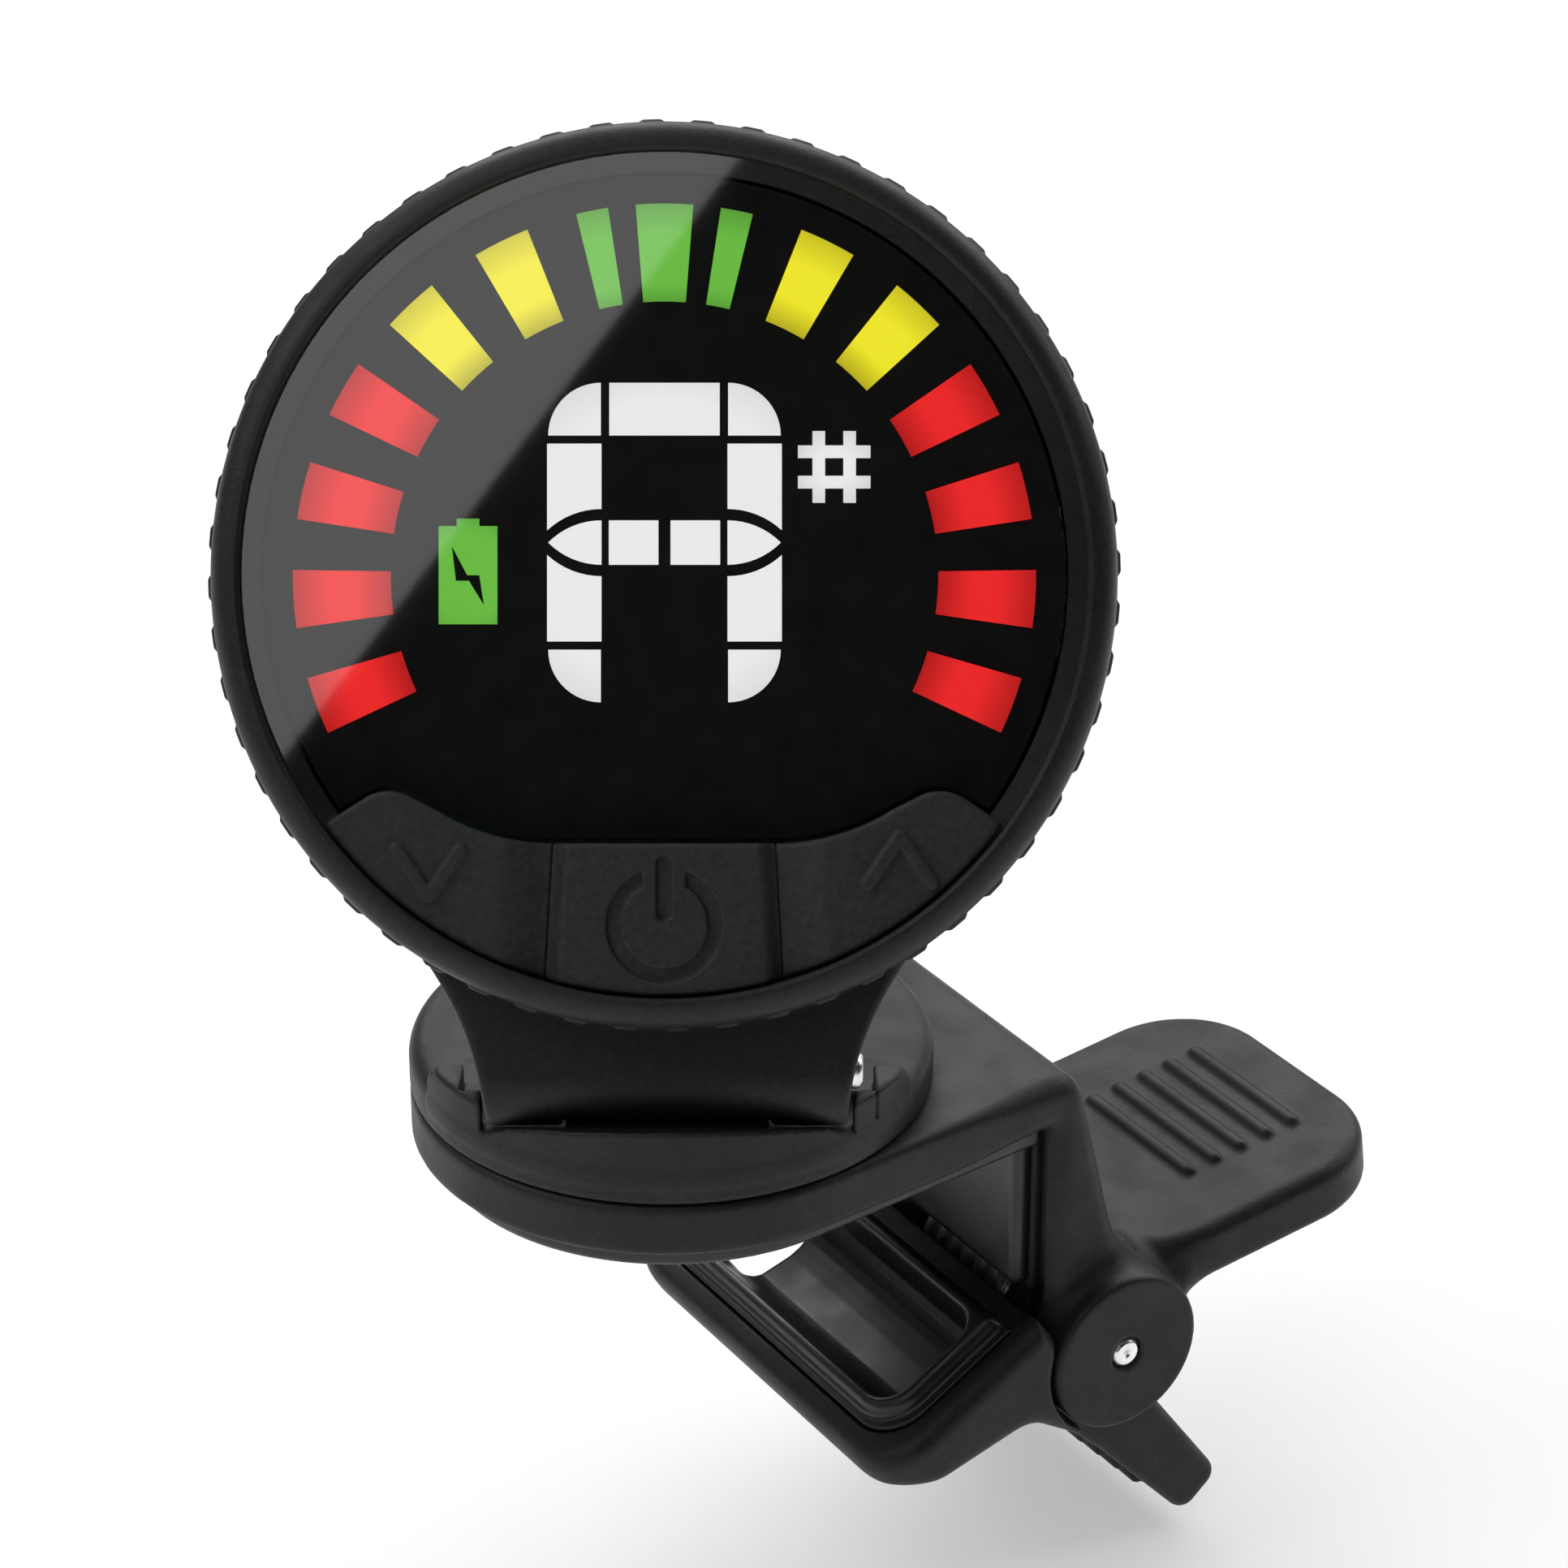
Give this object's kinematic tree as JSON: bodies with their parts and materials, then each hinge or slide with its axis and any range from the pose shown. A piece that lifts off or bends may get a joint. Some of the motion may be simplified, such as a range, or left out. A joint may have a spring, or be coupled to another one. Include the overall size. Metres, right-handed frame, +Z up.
{
  "type": "clip-on tuner",
  "caption": "Clip-on instrument tuner: a round display head with a knurled bezel and soft keys, tilting on a swivel base over a sprung clip.",
  "frame": {"origin": "on the swivel axis, in the face of the upper pad that the headstock touches", "axes": "+X from the clip's mouth towards the finger tab, +Y along the hinge pin, +Z up the swivel axis towards the head"},
  "size_m": [0.0592, 0.0331, 0.0776],
  "materials": {
    "body_plastic": "fine satin grain",
    "pad_rubber": "satin",
    "pin_steel": "polished",
    "spring_steel": "oiled spring wire",
    "bezel_plastic": "fine satin grain",
    "key_rubber": "satin",
    "clear_lens": "gloss",
    "mask_black": "gloss",
    "film_red": "lit",
    "film_yellow": "lit",
    "film_green": "lit",
    "film_white": "lit",
    "guide_white": "satin",
    "board_green": "satin",
    "chip_black": "matt",
    "cell_foil": "satin",
    "socket_steel": "satin",
    "sensor_brass": "satin"
  },
  "bodies": {
    "clip": {"upper_arm": "body_plastic", "upper_pad": "pad_rubber", "hinge_pin": "pin_steel", "torsion_spring": "spring_steel"},
    "jaw": {"lower_jaw": "body_plastic", "lower_pad": "pad_rubber"},
    "swivel_base": {"turret": "body_plastic", "swivel_washer": "pin_steel", "swivel_screw": "pin_steel"},
    "head": {"tilt_pin": "pin_steel", "rear_shell": "body_plastic", "bezel_ring": "bezel_plastic", "display_lens": "clear_lens", "display_mask": "mask_black", "meter_red": "film_red", "meter_yellow": "film_yellow", "meter_green": "film_green", "note_segments": "film_white", "sharp_segment": "film_white", "battery_segment": "film_green", "light_guide": "guide_white", "circuit_board": "board_green", "tuner_chip": "chip_black", "battery_cell": "cell_foil", "charge_socket": "socket_steel", "vibration_sensor": "sensor_brass", "tact_switches": "chip_black", "board_screws": "socket_steel"},
    "key_down": {"key_down": "key_rubber"},
    "key_power": {"key_power": "key_rubber"},
    "key_up": {"key_up": "key_rubber"}
  },
  "joints": [
    {"name": "jaw_hinge", "type": "hinge", "parent": "clip", "child": "jaw", "pos_m": [0.0189, 0, -0.01205], "axis": [0, -1, 0], "range_deg": [0, 30], "stiffness_Nm_per_rad": 0.08, "springref_deg": -28.65},
    {"name": "head_swivel", "type": "hinge", "parent": "clip", "child": "swivel_base", "pos_m": [0, 0, 0.004], "axis": [0, 0, 1], "continuous": true},
    {"name": "head_tilt", "type": "hinge", "parent": "swivel_base", "child": "head", "pos_m": [-0.00424, -0.00678, 0.00865], "axis": [0.848, -0.5299, 0], "range_deg": [-45, 26]},
    {"name": "down_key_press", "type": "slide", "parent": "head", "child": "key_down", "axis": [0.4734, 0.7576, -0.4493], "range_m": [0, 0.0003], "stiffness_N_per_m": 400, "springref_m": -0.0006},
    {"name": "power_key_press", "type": "slide", "parent": "head", "child": "key_power", "axis": [0.4734, 0.7576, -0.4493], "range_m": [0, 0.0003], "stiffness_N_per_m": 400, "springref_m": -0.0006},
    {"name": "up_key_press", "type": "slide", "parent": "head", "child": "key_up", "axis": [0.4734, 0.7576, -0.4493], "range_m": [0, 0.0003], "stiffness_N_per_m": 400, "springref_m": -0.0006}
  ]
}
